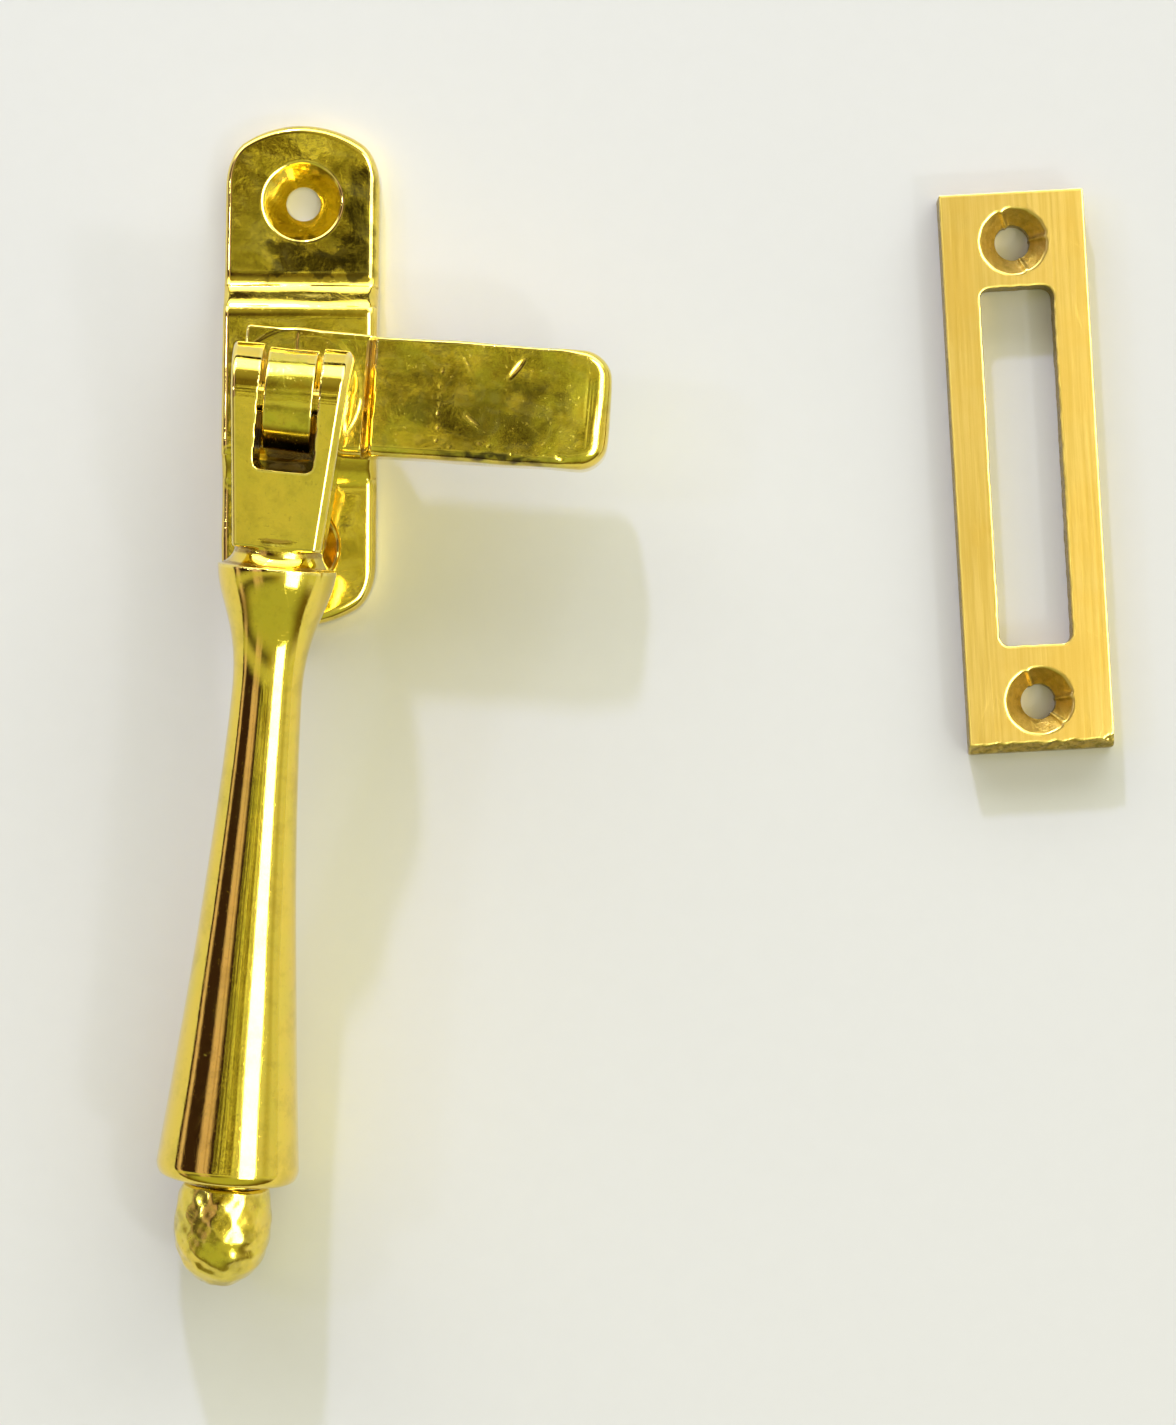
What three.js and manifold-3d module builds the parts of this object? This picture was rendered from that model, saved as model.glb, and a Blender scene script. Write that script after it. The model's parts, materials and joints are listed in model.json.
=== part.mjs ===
// Casement window fastener: a bridge-shaped back plate, a tongue that turns on a riveted
// spindle, a handle hinged to the tongue's knuckle, and a loose mortice plate for the frame.
//
// Millimetres, +Z up. The origin is on the spindle's axis in the plane of the plate's back.
// +X runs towards the window frame, +Y towards the plate's upper end, +Z away from the sash.

import * as THREE from 'three';
import { mergeVertices } from 'three/addons/utils/BufferGeometryUtils.js';
import Module from 'manifold-3d';

const wasm = await Module();
wasm.setup();

// ---- fits ----
const CLEARANCE = 0.3;
const CUT_OVERRUN = 1;
const ROUND_STEPS = 36;
const ARC_STEPS = 6;

// ---- back plate ----
const PLATE_WIDTH = 16;
const PLATE_LENGTH = 51.8;
const PLATE_MIDDLE_Y = 2.6;
const PLATE_END_RISE = 3.4;
const PLATE_CORNER_RADIUS = 2;
const FLANGE_THICKNESS = 3;
const BRIDGE_HEIGHT = 5.5;
const BRIDGE_LENGTH = 15.3;
const BRIDGE_MIDDLE_Y = 1.7;
const BRIDGE_RAMP = 2.3;
const PLATE_HOLE_INSET = 8;
const PLATE_HOLE_RADIUS = 1.7;
const PLATE_SINK_RADIUS = 4.2;

// ---- spindle and washers behind the bridge ----
const SPINDLE_RADIUS = 2.5;
const RIVET_RADIUS = 3.4;
const RIVET_THICKNESS = 0.6;
const RIVET_SET_IN = 0.4;
const REAR_WASHER_RADIUS = 5;
const REAR_WASHER_THICKNESS = 0.6;
const SPRING_WASHER_RADIUS = 4.8;
const SPRING_WASHER_THICKNESS = 0.35;
const SPRING_WASHER_DISH = 0.6;
const RECESS_SIDE_GAP = 0.6;

// ---- tongue ----
const FASTENER_TURN = THREE.MathUtils.degToRad(-4.5);
const HUB_RADIUS = 6.6;
const HUB_THICKNESS = 3.8;
const HUB_BORE_ROOF = 0.8;
const HUB_SHOULDER_LEFT = 5.7;
const BLADE_WIDTH = 12.2;
const BLADE_THICKNESS = 4.5;
const BLADE_LIFT = 1.7;
const BLADE_ROOT_GAP = 1.8;
const BLADE_REACH = 32.1;
const BLADE_SKEW = 1.1;
const BLADE_CORNER_RADIUS = 2.6;
const BLADE_END_RISE = 0.5;
const BLADE_NOSE_ROUND = 1.5;
const COVE_WIDTH = 1.1;
const KNUCKLE_WIDTH = 5.1;

// ---- hinge between tongue and handle ----
const HINGE_Y = -1.5;
const HINGE_LIFT = 1.1;
const PIN_RADIUS = 1.5;
const PIN_SET_IN = 0.1;
const HANDLE_REST_GAP = 0.2;

// ---- handle: distances run from the hinge axis towards the knob ----
const BARREL_RADIUS = 5.5;
const HEAD_TOP_WIDTH = 12.4;
const HEAD_FOOT_WIDTH = 9;
const HEAD_FOOT_DEPTH = 8.6;
const HEAD_LENGTH = 15;
const HEAD_EDGE = 0.7;
const FORK_SIDE_GAP = 0.4;
const FORK_THROAT = 1.8;
const FORK_SLOT_CORNER = 0.8;
const COVE_LENGTH = 1.8;
const COLLAR_RADIUS = 6.05;
const COVE_RADIUS = 4.5;
const NECK_FALL = 0.3;
const NECK_UPPER_PULL = 0.31;
const NECK_LOWER_PULL = 0.48;
const NECK_LENGTH = 12.2;
const WAIST_RADIUS = 3.6;
const RIM_RADIUS = 7.3;
const RIM_ROUND = 1.1;
const RIM_ROUND_LENGTH = 1.6;
const BELL_FLARE = 1.4;
const BELL_END = 79.1;

// ---- knob screwed into the handle ----
const KNOB_RADIUS = 5.05;
const KNOB_SHOULDER_RADIUS = 4.4;
const KNOB_STAND = 4.9;
const KNOB_NOSE_LENGTH = 6.1;
const KNOB_SHANK_RADIUS = 2.2;
const KNOB_SHANK_LENGTH = 6;

// ---- mortice plate ----
const MORTICE_WIDTH = 15;
const MORTICE_LENGTH = 57.7;
const MORTICE_THICKNESS = 3.5;
const MORTICE_SLOT_WIDTH = 7.4;
const MORTICE_SLOT_LENGTH = 36.8;
const MORTICE_SLOT_SHIFT = 0.5;
const MORTICE_SLOT_CORNER = 1;
const MORTICE_HOLE_SPACING = 47.4;
const MORTICE_HOLE_RADIUS = 1.75;
const MORTICE_SINK_RADIUS = 3.45;
const MORTICE_PLACE = new THREE.Vector3(74.7, -6.7, 0);
const MORTICE_TURN = THREE.MathUtils.degToRad(3.6);

// ---- places that follow from the sizes above ----
const HUB_BASE = BRIDGE_HEIGHT + CLEARANCE;
const HUB_TOP = HUB_BASE + HUB_THICKNESS;
const BLADE_BASE = HUB_BASE + BLADE_LIFT;
const BLADE_TOP = BLADE_BASE + BLADE_THICKNESS;
const BORE_RADIUS = SPINDLE_RADIUS + CLEARANCE;
const RIVET_TOP = RIVET_SET_IN + RIVET_THICKNESS;
const REAR_WASHER_BASE = RIVET_TOP + CLEARANCE;
const SPRING_WASHER_BASE = REAR_WASHER_BASE + REAR_WASHER_THICKNESS + CLEARANCE;
const RECESS_DEPTH = SPRING_WASHER_BASE + SPRING_WASHER_DISH + CLEARANCE;
const RECESS_RADIUS = REAR_WASHER_RADIUS + RECESS_SIDE_GAP;
const BLADE_ROOT_X = HEAD_TOP_WIDTH / 2 + BLADE_ROOT_GAP;
const KNUCKLE_RADIUS = BARREL_RADIUS - CLEARANCE;
const FORK_SLOT_WIDTH = KNUCKLE_WIDTH + 2 * FORK_SIDE_GAP;
const FORK_SLOT_DEPTH = KNUCKLE_RADIUS + FORK_THROAT;
const HINGE_HEIGHT = HUB_TOP + HINGE_LIFT + BARREL_RADIUS;
const COLLAR_AT = HEAD_LENGTH + COVE_LENGTH;
const WAIST_AT = COLLAR_AT + NECK_LENGTH;
const RIM_AT = BELL_END - RIM_ROUND_LENGTH;
const KNOB_AT = BELL_END + KNOB_STAND;

// The handle hangs down from its hinge until the bell's rim all but touches the mounting plane.
const HANDLE_DROOP = Math.asin((HINGE_HEIGHT - HANDLE_REST_GAP) / Math.hypot(RIM_AT, RIM_RADIUS))
  - Math.atan2(RIM_RADIUS, RIM_AT);

// ---- materials ----
const polishedBrass = { color: 0xc9b13c, roughness: 0.14, metalness: 1, flatShading: true };
const satinBrass = { color: 0xd9b54a, roughness: 0.42, metalness: 1, flatShading: true };
const springSteel = { color: 0x9a9a9c, roughness: 0.4, metalness: 1, flatShading: true };

// ---- solids ----
function solidOf(geometry) {
  geometry.deleteAttribute('normal');
  geometry.deleteAttribute('uv');
  const welded = mergeVertices(geometry);
  return new wasm.Manifold(new wasm.Mesh({
    numProp: 3,
    vertProperties: new Float32Array(welded.attributes.position.array),
    triVerts: new Uint32Array(welded.index.array),
  }));
}

function geometryOf(solid) {
  const { numProp, vertProperties, triVerts } = solid.getMesh();
  const geometry = new THREE.BufferGeometry();
  geometry.setAttribute('position', new THREE.BufferAttribute(vertProperties, numProp));
  geometry.setIndex(new THREE.BufferAttribute(triVerts, 1));
  return geometry;
}

// A flat outline raised along +Z from one height to another.
function prism(shape, from, to) {
  const options = { depth: to - from, bevelEnabled: false, curveSegments: ARC_STEPS };
  return solidOf(new THREE.ExtrudeGeometry(shape, options).translate(0, 0, from));
}

// An outline drawn as (y, z) and swept along X, centred on X = 0.
function sideProfile(shape, width) {
  const options = { depth: width, bevelEnabled: false, curveSegments: ARC_STEPS };
  const geometry = new THREE.ExtrudeGeometry(shape, options).translate(0, 0, -width / 2);
  return solidOf(geometry.rotateY(Math.PI / 2).rotateX(Math.PI / 2));
}

// A profile of (radius, height) points turned about Z.
function turned(points) {
  const profile = points.map(([radius, height]) => new THREE.Vector2(radius, height));
  return solidOf(new THREE.LatheGeometry(profile, ROUND_STEPS).rotateX(Math.PI / 2));
}

function rod(radius, from, to) {
  return turned([[0, from], [radius, from], [radius, to], [0, to]]);
}

function box(x0, x1, y0, y1, z0, z1) {
  const geometry = new THREE.BoxGeometry(x1 - x0, y1 - y0, z1 - z0);
  return solidOf(geometry.translate((x0 + x1) / 2, (y0 + y1) / 2, (z0 + z1) / 2));
}

// A screw hole with a 90-degree countersink that opens at the face height.
function screwHole(x, y, holeRadius, sinkRadius, face) {
  const throat = face - (sinkRadius - holeRadius);
  const cut = turned([
    [0, -CUT_OVERRUN],
    [holeRadius, -CUT_OVERRUN],
    [holeRadius, throat],
    [sinkRadius, face],
    [sinkRadius, face + CUT_OVERRUN],
    [0, face + CUT_OVERRUN],
  ]);
  return cut.translate([x, y, 0]);
}

function roundedRectangle(x0, x1, y0, y1, radius) {
  const shape = new THREE.Shape();
  shape.absarc(x1 - radius, y1 - radius, radius, 0, Math.PI / 2);
  shape.absarc(x0 + radius, y1 - radius, radius, Math.PI / 2, Math.PI);
  shape.absarc(x0 + radius, y0 + radius, radius, Math.PI, 1.5 * Math.PI);
  shape.absarc(x1 - radius, y0 + radius, radius, 1.5 * Math.PI, 2 * Math.PI);
  return shape;
}

function mesh(name, solid, material) {
  const piece = new THREE.Mesh(geometryOf(solid), new THREE.MeshStandardMaterial(material));
  piece.name = name;
  return piece;
}

// ---- back plate ----
// Straight sides, shallow domed ends, and a rounded corner between each side and dome.
function plateOutline() {
  const half = PLATE_WIDTH / 2;
  const domeRadius = (half ** 2 + PLATE_END_RISE ** 2) / (2 * PLATE_END_RISE);
  const domeY = PLATE_LENGTH / 2 - domeRadius;
  const cornerX = half - PLATE_CORNER_RADIUS;
  const cornerRise = Math.sqrt((domeRadius - PLATE_CORNER_RADIUS) ** 2 - cornerX ** 2);
  const meet = Math.atan2(cornerRise, cornerX);
  const shape = new THREE.Shape();
  for (const [side, turn] of [[1, 0], [-1, Math.PI]]) {
    const dome = side * domeY + PLATE_MIDDLE_Y;
    const corner = side * (domeY + cornerRise) + PLATE_MIDDLE_Y;
    shape.absarc(side * cornerX, corner, PLATE_CORNER_RADIUS, turn, turn + meet);
    shape.absarc(0, dome, domeRadius, turn + meet, turn + Math.PI - meet);
    shape.absarc(-side * cornerX, corner, PLATE_CORNER_RADIUS, turn + Math.PI - meet, turn + Math.PI);
  }
  return shape;
}

function backPlate() {
  const end = PLATE_LENGTH / 2;
  const top = BRIDGE_LENGTH / 2;
  const foot = top + BRIDGE_RAMP;
  const plateTop = PLATE_MIDDLE_Y + end;
  const plateFoot = PLATE_MIDDLE_Y - end;
  const bridge = new THREE.Shape([
    [plateFoot, 0], [plateTop, 0], [plateTop, FLANGE_THICKNESS],
    [BRIDGE_MIDDLE_Y + foot, FLANGE_THICKNESS], [BRIDGE_MIDDLE_Y + top, BRIDGE_HEIGHT],
    [BRIDGE_MIDDLE_Y - top, BRIDGE_HEIGHT], [BRIDGE_MIDDLE_Y - foot, FLANGE_THICKNESS],
    [plateFoot, FLANGE_THICKNESS],
  ].map(([along, height]) => new THREE.Vector2(along, height)));
  let plate = sideProfile(bridge, PLATE_WIDTH)
    .intersect(prism(plateOutline(), 0, BRIDGE_HEIGHT + CUT_OVERRUN));
  for (const side of [1, -1]) {
    const holeY = PLATE_MIDDLE_Y + side * (end - PLATE_HOLE_INSET);
    const hole = screwHole(0, holeY, PLATE_HOLE_RADIUS, PLATE_SINK_RADIUS, FLANGE_THICKNESS);
    plate = plate.subtract(hole);
  }
  return plate
    .subtract(rod(RECESS_RADIUS, -CUT_OVERRUN, RECESS_DEPTH))
    .subtract(rod(BORE_RADIUS, -CUT_OVERRUN, BRIDGE_HEIGHT + CUT_OVERRUN));
}

// ---- spindle and washers ----
function pivotSpindle() {
  const end = HUB_TOP - HUB_BORE_ROOF - CLEARANCE;
  return turned([
    [0, RIVET_SET_IN], [RIVET_RADIUS, RIVET_SET_IN], [RIVET_RADIUS, RIVET_TOP],
    [SPINDLE_RADIUS, RIVET_TOP], [SPINDLE_RADIUS, end], [0, end],
  ]);
}

function rearWasher() {
  const top = REAR_WASHER_BASE + REAR_WASHER_THICKNESS;
  return rod(REAR_WASHER_RADIUS, REAR_WASHER_BASE, top)
    .subtract(rod(BORE_RADIUS, REAR_WASHER_BASE - CUT_OVERRUN, top + CUT_OVERRUN));
}

// A dished washer: its rim bears on the rear washer and its bore lies up against the bridge.
function springWasher() {
  const rimTop = SPRING_WASHER_BASE + SPRING_WASHER_THICKNESS;
  const dishTop = SPRING_WASHER_BASE + SPRING_WASHER_DISH;
  return turned([
    [SPRING_WASHER_RADIUS, SPRING_WASHER_BASE], [SPRING_WASHER_RADIUS, rimTop],
    [BORE_RADIUS, dishTop], [BORE_RADIUS, dishTop - SPRING_WASHER_THICKNESS],
    [SPRING_WASHER_RADIUS, SPRING_WASHER_BASE],
  ]);
}

// ---- tongue ----
function bladeOutline() {
  const half = BLADE_WIDTH / 2;
  const flatEnd = BLADE_REACH - BLADE_END_RISE;
  const shape = new THREE.Shape();
  shape.moveTo(0, -half);
  shape.lineTo(flatEnd - BLADE_CORNER_RADIUS, -half);
  shape.absarc(flatEnd - BLADE_CORNER_RADIUS, -half + BLADE_CORNER_RADIUS, BLADE_CORNER_RADIUS,
    -Math.PI / 2, 0);
  shape.quadraticCurveTo(BLADE_REACH + BLADE_END_RISE, 0, flatEnd, half - BLADE_CORNER_RADIUS);
  shape.absarc(flatEnd - BLADE_CORNER_RADIUS, half - BLADE_CORNER_RADIUS, BLADE_CORNER_RADIUS,
    0, Math.PI / 2);
  shape.lineTo(0, half);
  return shape;
}

// The blade seen from its long edge, with a concave sweep up to its face and a rounded nose.
function bladeSide() {
  const noseX = BLADE_REACH - BLADE_NOSE_ROUND;
  const shape = new THREE.Shape();
  shape.moveTo(0, HUB_BASE);
  shape.lineTo(BLADE_ROOT_X, HUB_BASE);
  shape.lineTo(BLADE_ROOT_X + BLADE_LIFT, BLADE_BASE);
  shape.lineTo(BLADE_REACH, BLADE_BASE);
  shape.lineTo(BLADE_REACH, BLADE_TOP - BLADE_NOSE_ROUND);
  shape.absarc(noseX, BLADE_TOP - BLADE_NOSE_ROUND, BLADE_NOSE_ROUND, 0, Math.PI / 2);
  shape.lineTo(BLADE_ROOT_X, BLADE_TOP);
  shape.quadraticCurveTo(BLADE_ROOT_X - COVE_WIDTH, BLADE_TOP, BLADE_ROOT_X - COVE_WIDTH, HUB_TOP);
  shape.lineTo(0, HUB_TOP);
  return shape;
}

function tongue() {
  const half = BLADE_WIDTH / 2;
  const blade = solidOf(new THREE.ExtrudeGeometry(bladeSide(), {
    depth: BLADE_WIDTH, bevelEnabled: false, curveSegments: ARC_STEPS,
  }).translate(0, 0, -half).rotateX(Math.PI / 2))
    .intersect(prism(bladeOutline(), 0, BLADE_TOP + CUT_OVERRUN))
    .rotate([0, 0, BLADE_SKEW]);
  const hub = rod(HUB_RADIUS, HUB_BASE, HUB_TOP);
  const shoulder = box(-HUB_SHOULDER_LEFT, BLADE_ROOT_X, 0, HUB_RADIUS, HUB_BASE, HUB_TOP);
  const barrel = rod(KNUCKLE_RADIUS, -KNUCKLE_WIDTH / 2, KNUCKLE_WIDTH / 2)
    .rotate([0, 90, 0]).translate([0, HINGE_Y, HINGE_HEIGHT]);
  const leg = box(-KNUCKLE_WIDTH / 2, KNUCKLE_WIDTH / 2, HINGE_Y - KNUCKLE_RADIUS,
    HINGE_Y + KNUCKLE_RADIUS, HUB_BASE, HINGE_HEIGHT);
  const legFoot = rod(HUB_RADIUS, HUB_BASE, HINGE_HEIGHT).intersect(leg);
  const pinHole = rod(PIN_RADIUS + CLEARANCE, -KNUCKLE_WIDTH, KNUCKLE_WIDTH)
    .rotate([0, 90, 0]).translate([0, HINGE_Y, HINGE_HEIGHT]);
  const spindleBore = rod(BORE_RADIUS, HUB_BASE - CUT_OVERRUN, HUB_TOP - HUB_BORE_ROOF);
  return blade.add(hub).add(shoulder).add(legFoot).add(barrel)
    .subtract(pinHole).subtract(spindleBore);
}

// ---- hinge pin ----
function headHalfWidthAt(distance) {
  const taper = (HEAD_TOP_WIDTH - HEAD_FOOT_WIDTH) / 2;
  return HEAD_TOP_WIDTH / 2 - taper * (distance + BARREL_RADIUS) / (HEAD_LENGTH + BARREL_RADIUS);
}

function hingePin() {
  const half = headHalfWidthAt(PIN_RADIUS) - PIN_SET_IN;
  return rod(PIN_RADIUS, -half, half).rotate([0, 90, 0]);
}

// ---- handle ----
// The forked head: wide and deep at the hinge barrel, narrower at its foot.
function head() {
  const depth = HEAD_FOOT_DEPTH / 2;
  const side = new THREE.Shape();
  side.absarc(0, 0, BARREL_RADIUS, -Math.PI / 2, Math.PI / 2);
  side.lineTo(-HEAD_LENGTH, depth);
  side.lineTo(-HEAD_LENGTH, -depth);
  const top = headHalfWidthAt(-BARREL_RADIUS);
  const foot = headHalfWidthAt(HEAD_LENGTH);
  const front = new THREE.Shape([
    [-foot, -HEAD_LENGTH], [foot, -HEAD_LENGTH], [top, BARREL_RADIUS], [-top, BARREL_RADIUS],
  ].map(([x, y]) => new THREE.Vector2(x, y)));
  return sideProfile(side, HEAD_TOP_WIDTH)
    .intersect(prism(front, -BARREL_RADIUS, BARREL_RADIUS))
    .subtract(headEdges());
}

// The long edges of the head are planed off at 45 degrees, following its taper.
function headEdges() {
  const length = 2 * (HEAD_LENGTH + BARREL_RADIUS);
  const reach = HEAD_EDGE * Math.SQRT2;
  const taperAngle = Math.atan2((HEAD_TOP_WIDTH - HEAD_FOOT_WIDTH) / 2, HEAD_LENGTH + BARREL_RADIUS);
  const fallAngle = Math.atan2(BARREL_RADIUS - HEAD_FOOT_DEPTH / 2, HEAD_LENGTH);
  const cuts = [];
  for (const side of [1, -1]) {
    for (const face of [1, -1]) {
      const bar = new THREE.BoxGeometry(reach, length, reach)
        .rotateY(Math.PI / 4)
        .rotateZ(-side * taperAngle)
        .rotateX(face * fallAngle)
        .translate(side * headHalfWidthAt(0), 0, face * BARREL_RADIUS);
      cuts.push(solidOf(bar));
    }
  }
  return cuts.reduce((all, cut) => all.add(cut));
}

function forkSlot() {
  const half = FORK_SLOT_WIDTH / 2;
  const slot = roundedRectangle(-half, half, -FORK_SLOT_DEPTH, 2 * BARREL_RADIUS, FORK_SLOT_CORNER);
  return prism(slot, -2 * BARREL_RADIUS, 2 * BARREL_RADIUS);
}

// Radius and distance of the turned grip: cove, collar, waist, bell and rounded rim.
function gripProfile() {
  const profile = [[0, HEAD_LENGTH - 2 * CLEARANCE], [COVE_RADIUS, HEAD_LENGTH - 2 * CLEARANCE]];
  const place = (point) => profile.push([point.y, point.x]);
  const neckSpan = WAIST_AT - COLLAR_AT;
  const cove = new THREE.QuadraticBezierCurve(
    new THREE.Vector2(HEAD_LENGTH - CLEARANCE, COVE_RADIUS),
    new THREE.Vector2(COLLAR_AT - CLEARANCE, COVE_RADIUS),
    new THREE.Vector2(COLLAR_AT, COLLAR_RADIUS),
  );
  const neck = new THREE.CubicBezierCurve(
    new THREE.Vector2(COLLAR_AT + CLEARANCE, COLLAR_RADIUS),
    new THREE.Vector2(COLLAR_AT + NECK_UPPER_PULL * neckSpan, COLLAR_RADIUS - NECK_FALL),
    new THREE.Vector2(COLLAR_AT + NECK_LOWER_PULL * neckSpan, WAIST_RADIUS),
    new THREE.Vector2(WAIST_AT, WAIST_RADIUS),
  );
  cove.getPoints(ARC_STEPS).forEach(place);
  neck.getPoints(2 * ARC_STEPS).forEach(place);
  for (let step = 1; step <= 2 * ARC_STEPS; step += 1) {
    const share = step / (2 * ARC_STEPS);
    const flare = (RIM_RADIUS - WAIST_RADIUS) * share ** BELL_FLARE;
    profile.push([WAIST_RADIUS + flare, WAIST_AT + share * (RIM_AT - WAIST_AT)]);
  }
  for (let step = 1; step <= ARC_STEPS; step += 1) {
    const angle = (step / ARC_STEPS) * Math.PI / 2;
    const along = RIM_AT + (BELL_END - RIM_AT) * Math.sin(angle);
    profile.push([RIM_RADIUS - RIM_ROUND * (1 - Math.cos(angle)), along]);
  }
  profile.push([0, BELL_END]);
  return profile;
}

function handle() {
  const shankHole = rod(
    KNOB_SHANK_RADIUS + CLEARANCE, BELL_END - KNOB_SHANK_LENGTH - CLEARANCE, BELL_END + CUT_OVERRUN,
  );
  const grip = turned(gripProfile()).subtract(shankHole).rotate([90, 0, 0]);
  const pinHole = rod(PIN_RADIUS + CLEARANCE, -HEAD_TOP_WIDTH, HEAD_TOP_WIDTH).rotate([0, 90, 0]);
  return head().add(grip).subtract(forkSlot()).subtract(pinHole);
}

// ---- knob ----
function finialKnob() {
  const seat = BELL_END + CLEARANCE;
  const profile = [
    [0, BELL_END - KNOB_SHANK_LENGTH], [KNOB_SHANK_RADIUS, BELL_END - KNOB_SHANK_LENGTH],
    [KNOB_SHANK_RADIUS, seat],
  ];
  for (let step = 0; step < ARC_STEPS; step += 1) {
    const left = 1 - step / ARC_STEPS;
    const radius = KNOB_RADIUS - (KNOB_RADIUS - KNOB_SHOULDER_RADIUS) * left * left;
    profile.push([radius, KNOB_AT - (KNOB_AT - seat) * left]);
  }
  for (let step = 0; step <= 2 * ARC_STEPS; step += 1) {
    const angle = (step / (2 * ARC_STEPS)) * Math.PI / 2;
    profile.push([KNOB_RADIUS * Math.cos(angle), KNOB_AT + KNOB_NOSE_LENGTH * Math.sin(angle)]);
  }
  return turned(profile).rotate([90, 0, 0]);
}

// ---- mortice plate ----
function morticePlate() {
  const halfWidth = MORTICE_WIDTH / 2;
  const halfLength = MORTICE_LENGTH / 2;
  const slotHalf = MORTICE_SLOT_WIDTH / 2;
  const slotLow = MORTICE_SLOT_SHIFT - MORTICE_SLOT_LENGTH / 2;
  const slotHigh = MORTICE_SLOT_SHIFT + MORTICE_SLOT_LENGTH / 2;
  const slot = roundedRectangle(-slotHalf, slotHalf, slotLow, slotHigh, MORTICE_SLOT_CORNER);
  let plate = box(-halfWidth, halfWidth, -halfLength, halfLength, 0, MORTICE_THICKNESS)
    .subtract(prism(slot, -CUT_OVERRUN, MORTICE_THICKNESS + CUT_OVERRUN));
  for (const side of [1, -1]) {
    plate = plate.subtract(screwHole(0, side * MORTICE_HOLE_SPACING / 2,
      MORTICE_HOLE_RADIUS, MORTICE_SINK_RADIUS, MORTICE_THICKNESS));
  }
  return plate;
}

// ---- assembly ----
const handleGroup = new THREE.Group();
handleGroup.position.set(0, HINGE_Y, HINGE_HEIGHT);
handleGroup.rotation.x = HANDLE_DROOP;
handleGroup.add(mesh('handle', handle(), polishedBrass));
handleGroup.add(mesh('finial_knob', finialKnob(), polishedBrass));

const pinGroup = new THREE.Group();
pinGroup.position.copy(handleGroup.position);
pinGroup.add(mesh('hinge_pin', hingePin(), polishedBrass));

const tongueGroup = new THREE.Group();
tongueGroup.rotation.z = FASTENER_TURN;
tongueGroup.add(mesh('tongue', tongue(), polishedBrass));
tongueGroup.add(mesh('pivot_spindle', pivotSpindle(), polishedBrass));
tongueGroup.add(pinGroup, handleGroup);

const mortice = mesh('mortice_plate', morticePlate(), satinBrass);
mortice.position.copy(MORTICE_PLACE);
mortice.rotation.z = MORTICE_TURN;

const fastener = new THREE.Group();
fastener.add(mesh('back_plate', backPlate(), polishedBrass));
fastener.add(mesh('spring_washer', springWasher(), springSteel));
fastener.add(mesh('rear_washer', rearWasher(), polishedBrass));
fastener.add(tongueGroup, mortice);

export default fastener;
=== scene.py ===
"""Casement window fastener in polished brass with its satin mortice plate, on a pale floor."""
import itertools
import json
import math

import bpy
import numpy as np
from mathutils import Matrix, Vector


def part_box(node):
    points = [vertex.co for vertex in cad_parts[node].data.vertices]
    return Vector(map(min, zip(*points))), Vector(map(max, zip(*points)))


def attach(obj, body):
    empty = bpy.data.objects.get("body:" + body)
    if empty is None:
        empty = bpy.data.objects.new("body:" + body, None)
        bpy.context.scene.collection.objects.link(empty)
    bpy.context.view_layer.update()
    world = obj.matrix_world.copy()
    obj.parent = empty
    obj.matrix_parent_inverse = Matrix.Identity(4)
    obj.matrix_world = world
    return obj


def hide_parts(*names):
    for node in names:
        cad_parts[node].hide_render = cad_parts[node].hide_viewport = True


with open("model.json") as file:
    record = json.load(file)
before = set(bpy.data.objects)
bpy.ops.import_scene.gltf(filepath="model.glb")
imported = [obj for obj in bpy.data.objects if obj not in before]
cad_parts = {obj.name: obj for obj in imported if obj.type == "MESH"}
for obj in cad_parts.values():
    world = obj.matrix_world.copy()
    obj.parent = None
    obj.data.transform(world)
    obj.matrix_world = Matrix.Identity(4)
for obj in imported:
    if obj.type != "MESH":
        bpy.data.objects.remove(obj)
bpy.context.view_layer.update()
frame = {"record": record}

MM = 0.001
joints = {joint["name"]: joint for joint in frame["record"]["behaviour"]["joints"]}

# ---- sizes, in millimetres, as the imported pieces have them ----
PLATE_WIDTH, PLATE_LENGTH, PLATE_MIDDLE_Y = 16.0, 51.8, 2.6
PLATE_END_RISE, PLATE_CORNER_RADIUS = 3.4, 2.0
FLANGE_THICKNESS, BRIDGE_HEIGHT = 3.0, 5.5
BRIDGE_LENGTH, BRIDGE_MIDDLE_Y, BRIDGE_RAMP = 15.3, 1.7, 2.3
PLATE_HOLE_INSET, PLATE_HOLE_RADIUS, PLATE_SINK_RADIUS = 8.0, 1.7, 4.2
RECESS_RADIUS, RECESS_DEPTH = 5.6, 3.1
SPINDLE_RADIUS, BORE_RADIUS, RIVET_RADIUS = 2.5, 2.8, 3.4
RIVET_BASE, RIVET_TOP, SPINDLE_TOP = 0.4, 1.0, 8.5
HUB_RADIUS, HUB_BASE, HUB_TOP = 6.6, 5.8, 9.6
SHOULDER_LEFT, BORE_TOP = 5.7, 8.8
BLADE_WIDTH, BLADE_BASE, BLADE_TOP = 12.2, 7.5, 12.0
BLADE_ROOT, BLADE_REACH, BLADE_SKEW = 8.0, 32.1, math.radians(1.1)
BLADE_CORNER, BLADE_END_RISE, COVE_WIDTH = 2.6, 0.5, 1.1
KNUCKLE_WIDTH, KNUCKLE_RADIUS, PIN_RADIUS, PIN_FIT = 5.1, 5.2, 1.5, 0.04
HINGE_Y, HINGE_Z = -1.5, 16.2
BARREL_RADIUS, HEAD_LENGTH = 5.5, 15.0
HEAD_TOP_HALF, HEAD_FOOT_HALF, HEAD_FOOT_DEPTH = 6.2, 4.5, 4.3
HEAD_CHAMFER, SLOT_HALF, SLOT_DEPTH, SLOT_CORNER = 0.7, 2.95, 7.0, 0.8
COLLAR_AT, COLLAR_RADIUS, COVE_RADIUS = 16.8, 6.05, 4.4
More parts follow.
